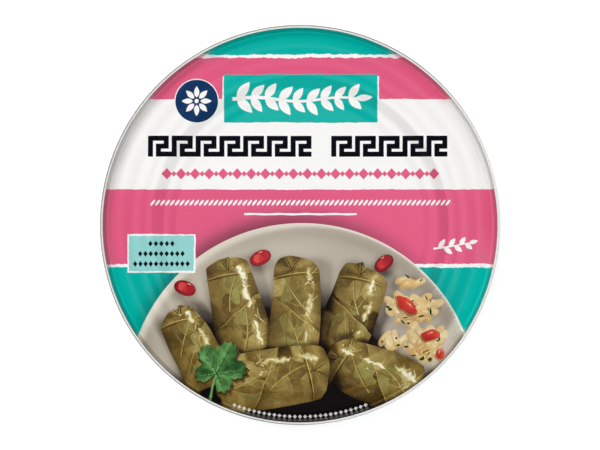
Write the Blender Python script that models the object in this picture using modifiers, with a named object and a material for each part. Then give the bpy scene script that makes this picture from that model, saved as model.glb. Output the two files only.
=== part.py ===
"""A low round food tin, shut: a printed end with pressed rings, a straight wall and a base end.

Units are metres and +Z is up. The origin is the centre of the circle that the tin stands on, and the
print on the top end reads upright when +Y is up. Both ends are seamed onto the wall, so each has a
raised rim round a shallow recess. The tin is full and shut, so the wall is solid.
"""

import math

import bpy

MM = 0.001

# Overall sizes of the tin
TIN_HEIGHT = 46.0 * MM
SEAM_RADIUS = 51.5 * MM
WALL_RADIUS = 49.7 * MM
FIT_GAP = 0.3 * MM

# The rolled seam round each end. Depths run inwards from its crown
SEAM_DEPTH = 3.1 * MM
SEAM_FOOT_RADIUS = 51.3 * MM
CROWN_OUTER_RADIUS = 51.1 * MM
CROWN_INNER_RADIUS = 50.85 * MM
SEAM_BEND = 0.4 * MM
RECESS_FOOT_RADIUS = 49.95 * MM
END_THICKNESS_DEPTH = 3.4 * MM

# The groove at the foot of the recess wall
GROOVE_DEPTH = 3.0 * MM
GROOVE_BEND = 0.4 * MM

# Flat bands pressed in the panel: inner radius, outer radius and depth below the crown
CENTRE_PANEL = (0.0, 31.9 * MM, 2.9 * MM)
INNER_STEP = (33.8 * MM, 35.4 * MM, 2.4 * MM)
CREST = (38.2 * MM, 39.9 * MM, 1.0 * MM)
SHOULDER = (41.2 * MM, 43.2 * MM, 1.35 * MM)
OUTER_STEP = (45.6 * MM, 47.7 * MM, 1.85 * MM)
PANEL_BANDS = (CENTRE_PANEL, INNER_STEP, CREST, SHOULDER, OUTER_STEP)

# Facets
TURN_STEPS = 72
BEND_STEPS = 4
SHARP_ANGLE = math.radians(35)
MERGE_DISTANCE = 0.01 * MM

# Colours (red, green, blue, alpha), roughness and metallic value
PRINT_PINK = ((0.760, 0.106, 0.223, 1.0), 0.35, 0.0)
PRINT_TEAL = ((0.0, 0.440, 0.380, 1.0), 0.35, 0.0)
BARE_TIN = ((0.62, 0.62, 0.60, 1.0), 0.32, 0.9)


def clear_scene():
    for scene_object in list(bpy.data.objects):
        bpy.data.objects.remove(scene_object, do_unlink=True)


def material(name, finish):
    colour, roughness, metallic = finish
    made = bpy.data.materials.new(name)
    made.use_nodes = True
    shader = made.node_tree.nodes["Principled BSDF"]
    shader.inputs["Base Color"].default_value = colour
    shader.inputs["Roughness"].default_value = roughness
    shader.inputs["Metallic"].default_value = metallic
    made.diffuse_color = colour
    return made


def bend(centre_radius, centre_depth, size, start_degrees, end_degrees):
    """Points of an arc in the (radius, depth) plane. 0 degrees points outwards and 90 at the crown."""
    points = []
    for step in range(BEND_STEPS + 1):
        angle = math.radians(start_degrees + (end_degrees - start_degrees) * step / BEND_STEPS)
        points.append((centre_radius + size * math.cos(angle), centre_depth - size * math.sin(angle)))
    return points


def panel_points():
    """The pressed panel from its centre to the edge of the groove, as (radius, depth)."""
    points = []
    for inner_radius, outer_radius, depth in PANEL_BANDS:
        points += [(inner_radius, depth), (outer_radius, depth)]
    return points


def end_profile():
    """One end, as (radius, depth below the crown): its outer face from the axis to the seam, the
    seam, and its inner face back to the axis."""
    groove_centre = RECESS_FOOT_RADIUS - GROOVE_BEND
    points = panel_points()
    points += bend(groove_centre, GROOVE_DEPTH - GROOVE_BEND, GROOVE_BEND, -90, 0)
    points += bend(CROWN_INNER_RADIUS, SEAM_BEND, SEAM_BEND, 180, 90)
    points += bend(CROWN_OUTER_RADIUS, SEAM_BEND, SEAM_BEND, 90, 0)
    points += [
        (SEAM_RADIUS, SEAM_DEPTH - SEAM_BEND),
        (SEAM_FOOT_RADIUS, SEAM_DEPTH),
        (WALL_RADIUS, SEAM_DEPTH),
        (WALL_RADIUS, END_THICKNESS_DEPTH),
        (0.0, END_THICKNESS_DEPTH),
    ]
    return points


def wall_profile():
    """The wall and what fills it, as (radius, height) from the middle of its top to its foot."""
    bottom = END_THICKNESS_DEPTH + FIT_GAP
    top = TIN_HEIGHT - bottom
    return [(0.0, top), (WALL_RADIUS, top), (WALL_RADIUS, bottom), (0.0, bottom)]


def turned(name, profile, finish_material, collection):
    """A solid turned about Z from (radius, height) points that run down its outer side."""
    mesh = bpy.data.meshes.new(name)
    points = [(radius, 0.0, height) for radius, height in profile]
    edges = [(index, index + 1) for index in range(len(points) - 1)]
    mesh.from_pydata(points, edges, [])
    turned_object = bpy.data.objects.new(name, mesh)
    collection.objects.link(turned_object)
    screw = turned_object.modifiers.new("Turn", "SCREW")
    screw.axis = "Z"
    screw.angle = math.tau
    screw.steps = TURN_STEPS
    screw.render_steps = TURN_STEPS
    screw.use_merge_vertices = True
    screw.merge_threshold = MERGE_DISTANCE
    screw.use_smooth_shade = True
    mesh.materials.append(finish_material)
    return turned_object


def facet_edges(turned_object):
    """Turns the Screw into a mesh, with smooth round faces and crisp corners."""
    graph = bpy.context.evaluated_depsgraph_get()
    made = bpy.data.meshes.new_from_object(turned_object.evaluated_get(graph))
    turned_object.modifiers.clear()
    turned_object.data = made
    made.shade_smooth()
    made.set_sharp_from_angle(angle=SHARP_ANGLE)


def top_end(collection):
    """The printed end, its crown at the top of the tin."""
    profile = [(radius, TIN_HEIGHT - depth) for radius, depth in end_profile()]
    return turned("lid_end", profile, material("lid_print", PRINT_PINK), collection)


def base_end(collection):
    """The same pressing turned over, its crown on the surface that the tin stands on."""
    profile = [(radius, depth) for radius, depth in reversed(end_profile())]
    return turned("base_end", profile, material("base_tin", BARE_TIN), collection)


def wall(collection):
    return turned("can_wall", wall_profile(), material("wall_print", PRINT_TEAL), collection)


def main():
    clear_scene()
    collection = bpy.data.collections.new("food_tin")
    bpy.context.scene.collection.children.link(collection)
    pieces = [top_end(collection), wall(collection), base_end(collection)]
    bpy.context.view_layer.update()
    for piece in pieces:
        facet_edges(piece)


main()
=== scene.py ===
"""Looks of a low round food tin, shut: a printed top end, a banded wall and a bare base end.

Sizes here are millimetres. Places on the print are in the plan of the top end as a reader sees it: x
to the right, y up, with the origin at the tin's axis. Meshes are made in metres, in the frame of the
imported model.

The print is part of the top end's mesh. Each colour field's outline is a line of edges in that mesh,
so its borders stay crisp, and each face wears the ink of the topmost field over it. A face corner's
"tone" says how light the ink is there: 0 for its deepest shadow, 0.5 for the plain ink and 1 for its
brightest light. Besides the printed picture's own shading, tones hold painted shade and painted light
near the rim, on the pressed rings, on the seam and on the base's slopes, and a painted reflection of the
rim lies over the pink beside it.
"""

import math
import random

import bpy
import numpy as np
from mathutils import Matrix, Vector, noise
from mathutils.geometry import delaunay_2d_cdt


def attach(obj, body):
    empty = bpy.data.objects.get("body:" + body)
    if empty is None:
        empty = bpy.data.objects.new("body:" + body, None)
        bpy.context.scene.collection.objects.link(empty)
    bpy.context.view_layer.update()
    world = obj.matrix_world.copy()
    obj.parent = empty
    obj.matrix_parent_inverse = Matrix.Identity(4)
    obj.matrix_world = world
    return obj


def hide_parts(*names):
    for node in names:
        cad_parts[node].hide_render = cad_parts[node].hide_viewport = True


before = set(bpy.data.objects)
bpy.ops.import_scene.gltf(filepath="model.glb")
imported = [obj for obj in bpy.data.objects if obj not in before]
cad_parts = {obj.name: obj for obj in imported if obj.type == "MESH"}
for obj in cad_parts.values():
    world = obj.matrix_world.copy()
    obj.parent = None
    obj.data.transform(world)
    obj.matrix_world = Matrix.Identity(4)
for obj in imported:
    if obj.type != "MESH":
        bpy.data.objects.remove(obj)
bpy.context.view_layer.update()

MM = 0.001

# Sizes of the tin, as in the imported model
TIN_HEIGHT = 46.0
SEAM_RADIUS = 51.5
WALL_RADIUS = 49.7
WALL_SHEET = 0.25
INNER_RADIUS = 49.4
SEAM_DEPTH = 3.1
SEAM_FOOT_RADIUS = 51.3
CROWN_OUTER_RADIUS = 51.1
CROWN_INNER_RADIUS = 50.85
SEAM_BEND = 0.4
RECESS_FOOT_RADIUS = 49.95
END_THICKNESS_DEPTH = 3.4
GROOVE_DEPTH = 3.0
GROOVE_BEND = 0.4
GROOVE_RADIUS = RECESS_FOOT_RADIUS - GROOVE_BEND
CENTRE_PANEL = (0.0, 31.9, 2.9)
OUTER_BANDS = ((33.8, 35.4, 2.4), (38.2, 39.9, 1.0), (41.2, 43.2, 1.35), (45.6, 47.7, 1.85))

# The print ends on the inner bend of the crown, where bare metal takes over
PRINT_END_DEGREES = 108.0

# Steps of the meshes
GRID_STEP = 0.5
GRID_ROW_STEP = 0.87 * GRID_STEP
GRID_GAP = 0.3
OUTLINE_STEP = 0.5
TORN_STEP = 0.4
PANEL_RINGS = 46
RIM_STEPS = 420
TURN_STEPS = 320
BEND_STEPS = 8
CROWN_STEPS = 4
MERGE_DISTANCE = 1e-4

# Radii, and the span over which the corners there are rounded: the panel sinks softly into its groove
CORNER_SPAN = 0.9
RIM_SOFTENING = ((45.0, 47.6), (CORNER_SPAN, 2.6))

# Share of a baked picture's width that the outer side of an end takes
OUTER_SHARE = 0.485

# Places of the colour fields on the print. The bands run past the tin's edge on all sides
SIDE = 70.0
PAST_EDGE = 80.0
GROUND_WIDTH = 150.0
TEAL_CAP_Y = 43.85
CAP_STRIP_Y = 43.05
WHITE_BAND = (9.15, 32.4)
LOWER_STRIP_Y = -10.05
LOWER_TEAL_Y = -10.95
PLATE_CENTRE = (0.5, -44.7)
PLATE_RADIUS = 45.2
PLATE_EDGE_INSET = 0.38
PLATE_STEPS = 560
# Painted light: how much lighter the pink is painted towards the right
PINK_PAINTED_RIGHT_LIGHT = 0.035

# The plate's plain tone, the bearing from which it is lit, and that which the pale part of its rim turns to
PLATE_TONE = 0.545
PLATE_LIGHT_BEARING = 140
PLATE_RIM_BEARING = 150

# Width of the plate's pale rim, and how much lighter it is, by how far the rim there faces that way
PLATE_RIM_WIDTH = ((0.0, 0.42, 0.62, 0.77, 0.92, 1.0), (0.45, 0.6, 0.95, 1.45, 1.7, 1.85))
PLATE_RIM_LIFT = (
    (-0.17, 0.26, 0.47, 0.64, 0.82, 0.906, 0.966, 0.99, 1.0),
    (0.42, 0.34, 0.29, 0.24, 0.19, 0.175, 0.19, 0.26, 0.26),
)


def ramp_stops(levels, *colours):
    return tuple(zip(levels, colours))


# Colours of the inks (8-bit sRGB), from the deepest shadow to the brightest light, as (tone, colour)
LEAF_LEVELS = (0.0, 0.15, 0.3, 0.42, 0.5, 0.6, 0.68, 0.76, 0.84, 1.0)
RICE_LEVELS = (0.0, 0.3, 0.5, 0.7, 0.88, 1.0)
PINK = ((0.0, (92, 38, 56)), (0.3, (178, 75, 105)), (0.5, (230, 92, 132)), (1.0, (244, 152, 180)))
TEAL = (
    (0.0, (0, 70, 66)), (0.3, (0, 136, 127)), (0.5, (0, 181, 170)), (0.7, (0, 196, 184)),
    (1.0, (96, 220, 210)),
)
WHITE = ((0.0, (110, 107, 103)), (0.3, (188, 186, 182)), (0.5, (252, 251, 249)), (1.0, (255, 255, 255)))
NAVY = ((0.0, (4, 14, 32)), (0.5, (12, 51, 96)), (1.0, (90, 120, 165)))
BLACK = ((0.0, (0, 0, 2)), (0.5, (6, 7, 17)), (1.0, (60, 62, 80)))
AQUA = ((0.0, (60, 110, 108)), (0.5, (148, 213, 210)), (1.0, (205, 238, 236)))
PLATE = (
    (0.0, (18, 13, 14)), (0.2, (82, 74, 66)), (0.4, (158, 148, 133)), (0.6, (196, 187, 171)),
    (0.8, (224, 216, 202)), (1.0, (250, 246, 238)),
)
ROLL = ramp_stops(
    LEAF_LEVELS,
    (9, 6, 4), (38, 30, 12), (80, 65, 27), (109, 92, 43), (129, 113, 58),
    (150, 135, 76), (174, 159, 99), (212, 200, 146), (240, 233, 196), (255, 253, 242),
)
ROLL_BROWN = ramp_stops(
    LEAF_LEVELS,
    (11, 6, 4), (44, 29, 12), (90, 66, 27), (121, 94, 41), (140, 113, 53),
    (161, 136, 70), (182, 160, 92), (216, 201, 142), (243, 234, 196), (255, 253, 242),
)
MOSS = ramp_stops(
    LEAF_LEVELS,
    (10, 8, 4), (38, 34, 14), (84, 77, 34), (116, 107, 52), (138, 130, 67),
    (158, 150, 84), (182, 173, 108), (216, 207, 152), (242, 236, 200), (255, 253, 242),
)
TUCK = (
    (0.0, (12, 7, 4)), (0.3, (74, 52, 22)), (0.42, (108, 82, 36)), (0.5, (132, 103, 46)),
    (0.65, (166, 139, 72)), (0.8, (222, 205, 150)), (1.0, (250, 244, 222)),
)
RIB = (
    (0.0, (24, 18, 7)), (0.3, (92, 76, 30)), (0.5, (158, 141, 66)), (0.65, (194, 179, 100)),
    (0.8, (224, 212, 150)), (1.0, (250, 244, 214)),
)
SPRIG = (
    (0.0, (10, 36, 16)), (0.25, (40, 80, 36)), (0.42, (70, 118, 58)), (0.55, (92, 148, 80)),
    (0.7, (122, 178, 108)), (1.0, (170, 208, 150)),
)
SEED = (
    (0.0, (58, 4, 14)), (0.3, (128, 16, 32)), (0.5, (168, 30, 42)), (0.65, (198, 46, 50)),
    (0.85, (226, 92, 78)), (1.0, (255, 214, 200)),
)
PEPPER = ((0.0, (90, 14, 12)), (0.45, (190, 44, 38)), (0.7, (218, 78, 60)), (1.0, (250, 190, 170)))
RICE = ramp_stops(
    RICE_LEVELS,
    (128, 84, 36), (190, 140, 72), (214, 176, 108), (226, 198, 138), (240, 224, 180), (252, 246, 226),
)
RICE_PALE = ramp_stops(
    RICE_LEVELS,
    (112, 96, 72), (176, 154, 116), (214, 190, 140), (228, 209, 163), (242, 232, 208), (253, 248, 234),
)
SEAM_TIN = ((0.0, (98, 96, 96)), (0.3, (152, 149, 148)), (0.55, (208, 206, 203)), (1.0, (253, 252, 249)))
BASE_TIN = ((0.0, (132, 132, 130)), (0.4, (190, 190, 186)), (1.0, (228, 228, 224)))

random.seed(7)


def linear(colour):
    """An 8-bit sRGB colour as the linear numbers that a shader takes."""
    shares = [part / 255 for part in colour]
    return tuple(s / 12.92 if s <= 0.04045 else ((s + 0.055) / 1.055) ** 2.4 for s in shares) + (1.0,)


def bend(centre_radius, centre_depth, size, start_degrees, end_degrees, steps=BEND_STEPS):
    """Points of an arc as (radius, depth). 0 degrees points outwards and 90 at the crown."""
    angles = np.radians(np.linspace(start_degrees, end_degrees, steps + 1))
    return [(centre_radius + size * math.cos(a), centre_depth - size * math.sin(a)) for a in angles]


def pressed_depth(radius):
    """Depth of the pressed panel: flat bands with straight slopes between them, their corners rounded by
    a mean over a short span."""
    bands = (CENTRE_PANEL,) + OUTER_BANDS
    corners = [(edge, depth) for inner, outer, depth in bands for edge in (inner, outer)]
    corners.append((GROOVE_RADIUS, GROOVE_DEPTH))
    radii, depths = zip(*corners)
    reach = np.interp(radius, *RIM_SOFTENING)
    reach = min(reach, 2 * (GROOVE_RADIUS - radius) + 0.2)
    span = radius + reach * np.linspace(-0.5, 0.5, 15)
    return float(np.interp(span, radii, depths).mean())


def printed_profile():
    """(radius, depth) of the pressed panel, its groove and the recess wall, from the axis outwards."""
    points = [(0.0, CENTRE_PANEL[2])]
    for radius in np.linspace(CENTRE_PANEL[1] - CORNER_SPAN, GROOVE_RADIUS, PANEL_RINGS)[:-1]:
        points.append((float(radius), pressed_depth(radius)))
    points += bend(GROOVE_RADIUS, GROOVE_DEPTH - GROOVE_BEND, GROOVE_BEND, -90, 0)
    points += bend(CROWN_INNER_RADIUS, SEAM_BEND, SEAM_BEND, 180, PRINT_END_DEGREES)
    return points


def seam_profile():
    """(radius, depth) from the print's end over the crown and down the seam to its foot."""
    points = bend(CROWN_INNER_RADIUS, SEAM_BEND, SEAM_BEND, PRINT_END_DEGREES, 90, CROWN_STEPS)[1:]
    points += bend(CROWN_OUTER_RADIUS, SEAM_BEND, SEAM_BEND, 90, 0)
    points += [(SEAM_RADIUS, SEAM_DEPTH - 0.9), (SEAM_RADIUS - 0.03, SEAM_DEPTH - 0.55)]
    points += bend(SEAM_FOOT_RADIUS - 0.15, SEAM_DEPTH - 0.3, 0.3, 10, -90, 6)
    points += [(INNER_RADIUS, SEAM_DEPTH), (INNER_RADIUS, END_THICKNESS_DEPTH)]
    points += [(0.5 * INNER_RADIUS, END_THICKNESS_DEPTH)]
    return points


PRINTED = np.array(printed_profile())
SEAM = np.array(seam_profile())
PRINT_RADIUS = float(PRINTED[-1, 0])
RELIEF = np.concatenate([PRINTED, SEAM[:CROWN_STEPS]])


def depth_at(radius):
    return np.interp(radius, RELIEF[:, 0], RELIEF[:, 1])


def slope_at(radius):
    """How fast the depth grows with the radius."""
    step = 0.01
    return (depth_at(radius + step) - depth_at(radius - step)) / (2 * step)


# Short calls on numbers, points and noise


def bell(value, middle, width):
    """1 at the middle, and less on both sides."""
    return np.exp(-(((value - middle) / width) ** 2))


def rising(value, start, span):
    """0 up to the start, and 1 from a span further on."""
    return np.clip((value - start) / span, 0, 1)


def polar(points):
    """How far points lie from the tin's axis, and in which directions."""
    radius = np.hypot(points[:, 0], points[:, 1])
    return radius, points / np.maximum(radius, 1e-9)[:, None]


def bearings(steps):
    return np.linspace(0, math.tau, steps, endpoint=False)


def circle(steps):
    """Directions all round."""
    return np.stack([np.cos(bearings(steps)), np.sin(bearings(steps))], 1)


def pointing(degrees, reach=1.0):
    turn = math.radians(degrees)
    return reach * np.array((math.cos(turn), math.sin(turn)))


def noise_at(points, scale_x, scale_y, seed):
    return np.array([noise.noise(Vector((scale_x * x, scale_y * y, seed))) for x, y in points])


# The waves of a torn edge, from broad ones to small bites: waves a millimetre, strength and layer of noise
TEAR_WAVES = ((0.13, 0.9, 0.5), (0.9, 0.8, 7.5), (2.6, 0.45, 3.5))


def wander(place, seed, amount):
    """A smooth irregular offset that depends on the place along an edge."""
    waves = [size * noise.noise(Vector((rate * place, seed, layer))) for rate, size, layer in TEAR_WAVES]
    return amount * sum(waves)


def wander_round(angle, seed, amount):
    """As wander, but it closes round the tin."""
    x, y = WALL_RADIUS * math.cos(angle), WALL_RADIUS * math.sin(angle)
    waves = [size * noise.noise(Vector((rate * x, rate * y, seed))) for rate, size, _ in TEAR_WAVES]
    return amount * sum(waves)


# Outlines, as arrays of points


def divided(outline, step=OUTLINE_STEP):
    """The outline with no edge longer than a step, so that it can follow the relief."""
    points = []
    for (x0, y0), (x1, y1) in zip(outline, np.roll(outline, -1, axis=0)):
        steps = max(1, math.ceil(math.hypot(x1 - x0, y1 - y0) / step))
        points += [(x0 + (x1 - x0) * k / steps, y0 + (y1 - y0) * k / steps) for k in range(steps)]
    return np.array(points)


def torn(corners, seed, amount):
    """A polygon whose edges wander like torn paper."""
    plain = divided(np.array(corners, float), TORN_STEP)
    ahead = np.roll(plain, -1, axis=0) - np.roll(plain, 1, axis=0)
    ahead /= np.maximum(np.linalg.norm(ahead, axis=1), 1e-9)[:, None]
    offsets = np.array([wander(TORN_STEP * index, seed, amount) for index in range(len(plain))])
    return plain + offsets[:, None] * np.stack([ahead[:, 1], -ahead[:, 0]], 1)


def box(left, bottom, right, top):
    return np.array([(left, bottom), (right, bottom), (right, top), (left, top)], float)


def placed(points, x, y, degrees=0.0):
    """Points turned by some degrees and moved."""
    turn = math.radians(degrees)
    c, s = math.cos(turn), math.sin(turn)
    points = np.asarray(points, float)
    return np.stack([x + c * points[:, 0] - s * points[:, 1], y + s * points[:, 0] + c * points[:, 1]], 1)


def oval(length, width, steps=20):
    return circle(steps) * (0.5 * length, 0.5 * width)


def blunt_oval(length, width, steps=20):
    """An oval with fuller ends."""
    shares = oval(2.0, 2.0, steps)
    return np.sign(shares) * np.abs(shares) ** 0.78 * (0.5 * length, 0.5 * width)


def leaf(length, width, steps=10, belly=0.45):
    """A pointed leaf along +x from the origin, widest at a share of its length."""
    along = np.linspace(0, 1, steps + 1)
    power = math.log(0.5) / math.log(belly)
    half = 0.5 * width * np.sin(math.pi * along**power) ** 0.85
    upper = np.stack([length * along, half], 1)
    lower = np.stack([length * along[1:-1], -half[1:-1]], 1)[::-1]
    return np.concatenate([upper, lower])


def blunted(outline, rounds=2, cut=0.25):
    """The outline with its corners cut, each round at a share of its sides."""
    for _ in range(rounds):
        step = cut * (np.roll(outline, -1, axis=0) - outline)
        outline = np.stack([outline + step, np.roll(outline, -1, axis=0) - step], 1).reshape(-1, 2)
    return outline


def lozenge(width, height):
    return 0.5 * np.array([(width, 0), (0, height), (-width, 0), (0, -height)], float)


def stroke(points, widths):
    """A line drawn through points, with a width at each."""
    points = np.asarray(points, float)
    widths = np.broadcast_to(np.asarray(widths, float), len(points))
    ahead = np.gradient(points, axis=0)
    ahead /= np.maximum(np.linalg.norm(ahead, axis=1), 1e-9)[:, None]
    side = np.stack([-ahead[:, 1], ahead[:, 0]], 1) * widths[:, None] / 2
    return np.concatenate([points + side, (points - side)[::-1]])


def curve(start, middle, end, steps=8):
    """Points of a curve from start to end that is drawn towards the middle point."""
    t = np.linspace(0, 1, steps + 1)[:, None]
    start, middle, end = (np.array(p, float) for p in (start, middle, end))
    return (1 - t) ** 2 * start + 2 * t * (1 - t) * middle + t**2 * end


# The colour fields, from the lowest to the topmost: ink, outline, and tone or the function that gives it
fields = []


def field(ink_name, outline, tone=0.5, at=None):
    """Adds one field. at is where its outline goes (x, y, degrees), unless it is in its place already."""
    outline = outline if at is None else placed(outline, *at)
    fields.append((ink_name, divided(outline), tone))


def colour_bands():
    """The bands, each on a strip of white paper that its torn edge bares."""
    for ink_name, bottom, top, seed, amount, tone in (
        ("white", CAP_STRIP_Y, PAST_EDGE, 1.3, 0.32, 0.5),
        ("teal", TEAL_CAP_Y, PAST_EDGE, 4.1, 0.3, teal_tone),
        ("white", *WHITE_BAND, 8.7, 0.14, 0.5),
        ("white", -PAST_EDGE, LOWER_STRIP_Y, 11.9, 0.28, 0.5),
        ("teal", -PAST_EDGE, LOWER_TEAL_Y, 15.2, 0.28, teal_tone),
    ):
        field(ink_name, torn(box(-SIDE, bottom, SIDE, top), seed, amount), tone)


def plate_distance(points):
    """How far points lie outside the plate."""
    return np.hypot(points[:, 0] - PLATE_CENTRE[0], points[:, 1] - PLATE_CENTRE[1]) - PLATE_RADIUS


def plate_facing(points, degrees):
    """How far points lie on the side of the plate that faces a bearing, from -1 to 1."""
    bearing = np.arctan2(points[:, 1] - PLATE_CENTRE[1], points[:, 0] - PLATE_CENTRE[0])
    return np.cos(bearing - math.radians(degrees))


# The plate's printed shadow: the bearing where it is strongest, the strength and reach of its parts, and
# how much of it teal takes
CAST_BEARING = 112
CAST_NEAR = (0.26, 2.6)
CAST_WIDE = (0.07, 5.0)
CAST_ON_TEAL = 0.75


def plate_cast(points):
    """The plate's soft printed shadow on what is round it, strongest above and to the left."""
    outside = np.maximum(plate_distance(points), 0)
    side = 0.5 + 0.5 * plate_facing(points, CAST_BEARING)
    near = CAST_NEAR[0] * bell(outside, 0, CAST_NEAR[1])
    return side**3 * (near + CAST_WIDE[0] * np.exp(-outside / CAST_WIDE[1]))


# The pink: painted lighter towards the right, and darker under the plate's printed shadow
def pink_tone(points):
    return 0.5 + PINK_PAINTED_RIGHT_LIGHT * rising(points[:, 0], 0, 40) - plate_cast(points)


def teal_tone(points):
    return 0.5 - CAST_ON_TEAL * plate_cast(points)


# Places of the ornaments. Boxes are left, bottom, right, top
PAPER_BOX = (-19.95, 26.1, 20.3, 38.3)
TEAL_BOX = (-19.6, 26.45, 20.0, 38.75)
BRANCH = (-17.4, 14.9, 32.4)
BADGE = (-26.6, 31.9, 5.5)
TWIG = (34.4, -5.2)

# Rows of lozenges and of slanting strokes: left end, right end, count and height on the print
LOZENGE_ROW = ((-35.2, 35.4, 39), 13.2)
ROPE_ROW = ((-38.5, 38.7, 62), 5.75)
LABEL_CORNERS = ((-44.45, -12.25), (-27.0, -12.3), (-26.95, -2.35), (-44.45, -2.3))
LABEL_BORDER = 0.42
LABEL_ROWS = (((-39.2, -32.2, 5), -4.8), ((-41.8, -29.6, 9), -7.4), ((-43.1, -28.3, 11), -10.0))

# Greek key bands, as (x, repeats). Their lines are wider than one unit, on each side by KEY_GROWTH
KEY_BANDS = ((-39.0, 7), (8.2, 5))
KEY_PATH = ((0, 0), (0, 4), (4, 4), (4, 2), (2, 2), (2, 0), (6, 0))
KEY_GROWTH = 0.14
KEY_UNIT = 1.02
KEY_FOOT_Y = 17.75


def greek_key(x, repeats):
    """A Greek key band from x on, six units a repeat and five high. The last repeat ends in itself."""
    lines = list(zip(KEY_PATH, KEY_PATH[1:]))
    for repeat in range(repeats):
        if repeat == repeats - 1:
            lines[-1] = ((2, 0), (4, 0))
        for (x0, y0), (x1, y1) in lines:
            left, right = sorted((x0 + 6 * repeat, x1 + 6 * repeat))
            bottom, top = sorted((y0, y1))
            reach = (left - KEY_GROWTH, bottom - KEY_GROWTH, right + 1 + KEY_GROWTH, top + 1 + KEY_GROWTH)
            field("black", box(*reach) * KEY_UNIT + (x, KEY_FOOT_Y))


def spaced(start, end, count):
    """The middles of equal parts of a line."""
    return [start + (end - start) * (index + 0.5) / count for index in range(count)]


def lozenge_row():
    """A row of pink lozenges, large and small in turn."""
    spots, y = LOZENGE_ROW
    for index, x in enumerate(spaced(*spots)):
        scale = 1.0 if index % 2 == 0 else 0.5
        field("pink", lozenge(2.7 * scale, 2.9 * scale), at=(x, y))


def rope_row():
    """A row of short slanting strokes, like a twisted cord."""
    spots, y = ROPE_ROW
    for x in spaced(*spots):
        field("white", oval(1.9, 0.62, 12), at=(x, y, 52))


def olive_branch(x0, x1, y, pairs):
    """A white branch with pairs of long leaves."""

    def height(share):
        return y + 0.5 * math.sin(share * 9.0)

    stem = [(x0 + (x1 - x0) * share, height(share)) for share in np.linspace(0, 1, 40)]
    field("white", stroke(stem, np.linspace(0.95, 0.5, 40)))
    for index in range(pairs):
        share = (index + 0.35) / pairs
        for side in (1, -1):
            lean = 48 + 6 * math.sin(3.1 * index + side)
            size = 5.0 - 0.9 * share + 0.3 * math.cos(2.3 * index * side)
            field("white", leaf(size, 0.46 * size), at=(x0 + (x1 - x0) * share, height(share), side * lean))
    field("white", leaf(4.4, 1.7), at=(x1 - 0.6, height(1), 4))


def branch_box():
    """A teal box on white paper, with an olive branch in it."""
    field("white", torn(box(*PAPER_BOX), 21.4, 0.12))
    field("teal", torn(box(*TEAL_BOX), 24.8, 0.13))
    olive_branch(*BRANCH, 9)


def badge(x, y, radius):
    """A navy disc with a white rosette."""
    for ink_name, across in (("white", 2 * radius + 0.5), ("navy", 2 * radius)):
        field(ink_name, oval(across, across, 72), at=(x, y))
    for turn in range(0, 360, 45):
        start = placed([(0.95, 0)], 0, 0, turn)[0]
        field("white", leaf(2.9, 1.35), at=(x + start[0], y + start[1], turn))
    field("white", oval(1.1, 1.1, 20), at=(x, y))


def aqua_label():
    """The small label, with three rows of lozenges."""
    corners = np.array(LABEL_CORNERS)
    inset = LABEL_BORDER * np.array([(1, 1), (-1, 1), (-1, -1), (1, -1)])
    field("white", torn(corners, 31.6, 0.13))
    field("aqua", torn(corners + inset, 35.1, 0.15))
    for spots, y in LABEL_ROWS:
        for x in spaced(*spots):
            field("black", lozenge(1.12, 1.5), at=(x, y))


def white_twig(x, y):
    """A small twig with leaves on both sides in turn."""
    stem = curve((x, y - 0.9), (x + 4.5, y - 0.4), (x + 9.6, y + 0.7), 14)
    field("white", stroke(stem, np.linspace(0.5, 0.25, 15)))
    for index, foot in enumerate(stem[2:14:2]):
        side = 1 if index % 2 == 0 else -1
        field("white", leaf(2.9 - 0.12 * index, 1.25), at=(*foot, 8 + side * 46))
    field("white", leaf(2.4, 1.1), at=(x + 9.1, y + 0.55, 14))


def white_rule():
    """A thin line drawn by hand."""
    line = [(x, 2.8 + 0.05 * math.sin(0.9 * x)) for x in np.linspace(-14.4, 14.6, 30)]
    field("white", stroke(line, [0.52 + 0.06 * math.sin(1.7 * index) for index in range(30)]))


def ornaments():
    branch_box()
    badge(*BADGE)
    for x, repeats in KEY_BANDS:
        greek_key(x, repeats)
    lozenge_row()
    rope_row()
    white_rule()


# The plate and the food on it, in a layout of its own. The light lies in the direction LIGHT, and what
# it throws is moved by SHADOW_OFFSET
LIGHT = Vector((0.6, 0.36, 0.72)).normalized()
SHADOW_OFFSET = (1.7, -0.9)

# How dark a roll's thrown shadow is, and how far it and the dark line right beside the roll reach
THROWN = 0.25
THROWN_REACH = 1.35
TOUCHING_REACH = 0.4
ROLL_CORNER_RADIUS = 2.5

# Rolls of stuffed leaves, from the lowest to the topmost: x, y, degrees of their axis, length, width
ROLLS = (
    (-27.6, -31.2, 119, 21.5, 12.4),
    (13.4, -21.6, 71, 23.5, 13.2),
    (-16.2, -20.8, 107, 24.5, 13.6),
    (-1.4, -21.2, 88, 25.5, 13.6),
    (18.6, -38.8, 157, 25.0, 14.6),
    (-7.0, -39.6, 7, 28.5, 15.8),
)

# Patches of leaf of another green or brown, as (ink, lift), and the rolls that are browner
GREEN_PATCHES = (("moss", 0.03), ("tuck", -0.04), ("moss", -0.06), ("tuck", -0.09), ("moss", 0.02))
BROWN_PATCHES = (("tuck", 0.05), ("moss", 0.0), ("tuck", -0.02), ("tuck", -0.1), ("tuck", 0.07))
BROWN_ROLLS = (1, 5)

# How much wider each roll gets along it, towards its folded end
ROLL_TAPERS = (-0.3, 0.12, -0.16, -0.1, -0.26, 0.18)

# A roll's corners, as shares of its length and width
ROLL_CORNERS = (
    (0.49, -0.3), (0.51, 0.1), (0.47, 0.36), (0.38, 0.45), (0.12, 0.47), (-0.18, 0.5), (-0.42, 0.47),
    (-0.49, 0.4), (-0.51, 0.02), (-0.49, -0.38), (-0.41, -0.48), (-0.14, -0.5), (0.16, -0.47), (0.42, -0.43),
)

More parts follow.
